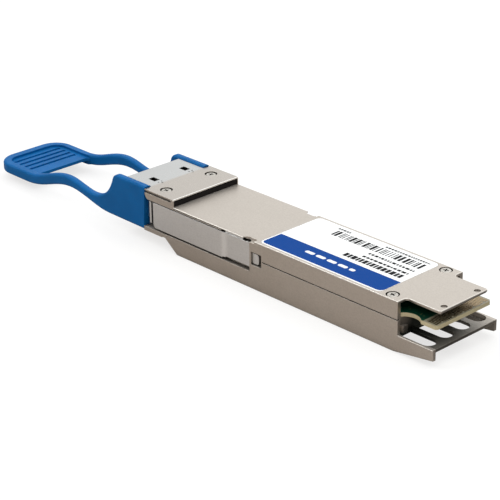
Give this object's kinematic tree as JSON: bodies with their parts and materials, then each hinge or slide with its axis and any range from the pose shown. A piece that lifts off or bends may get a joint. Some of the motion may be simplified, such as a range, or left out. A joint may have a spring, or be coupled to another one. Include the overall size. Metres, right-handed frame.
{
  "type": "optical transceiver module",
  "caption": "Long metal pluggable optical transceiver with a duplex fibre port, a card-edge plug, side latch sliders and a looped blue pull tab.",
  "frame": {"origin": "centre of the flat cooling face on the underside", "axes": "+X towards the card edge that plugs into the host, +Z towards the label side, Y across the module"},
  "size_m": [0.1643, 0.0226, 0.0154],
  "materials": {
    "nickel_casting": "satin nickel plate on a zinc alloy casting",
    "steel_sheet": "satin stamped stainless sheet",
    "slider_steel": "plain satin stainless sheet",
    "screw_steel": "bright plated steel",
    "spring_steel": "bright spring wire",
    "cover_sheet": "fine brushed nickel-plated sheet",
    "fin_metal": "plain sheet metal",
    "blue_plastic": "satin moulded nylon",
    "black_plastic": "fine moulded texture",
    "black_foam": "conductive foam",
    "label_paper": "semi-gloss printed film",
    "zirconia": "polished ceramic",
    "gold_package": "gold-plated package",
    "gold_contact": "hard gold plate",
    "thermal_pad": "soft gap filler",
    "amber_flex": "polyimide film",
    "green_board": "solder mask on glass laminate",
    "chip_black": "mould compound",
    "inductor_grey": "pressed ferrite",
    "capacitor_tan": "sintered ceramic"
  },
  "bodies": {
    "housing": {"bottom_shell": "nickel_casting", "top_shell": "nickel_casting", "label": "label_paper", "nose_cover_plate": "steel_sheet", "emi_gasket": "black_foam", "heat_sink_fins": "fin_metal", "heat_sink_cover": "cover_sheet", "rear_screws": "screw_steel", "nose_screws": "screw_steel", "lc_receptacle": "black_plastic", "split_sleeves": "zirconia", "fibre_stubs": "zirconia", "barrel_clamp": "black_plastic", "transmitter_package": "gold_package", "receiver_package": "gold_package", "package_pads": "thermal_pad", "transmitter_flex": "amber_flex", "receiver_flex": "amber_flex", "main_board": "green_board", "edge_contacts_top": "gold_contact", "edge_contacts_bottom": "gold_contact", "dsp_chip": "chip_black", "dsp_thermal_pad": "thermal_pad", "driver_chips": "chip_black", "microcontroller": "chip_black", "power_inductors": "inductor_grey", "capacitors": "capacitor_tan", "crystal": "screw_steel", "return_springs": "spring_steel"},
    "release": {"pull_tab": "blue_plastic", "slider_left": "slider_steel", "slider_right": "slider_steel"}
  },
  "joints": [
    {"name": "pull_release", "type": "slide", "parent": "housing", "child": "release", "axis": [-1, 0, 0], "range_m": [0, 0.0025], "stiffness_N_per_m": 900, "springref_m": -0.003, "deforming": ["return_springs"]}
  ]
}
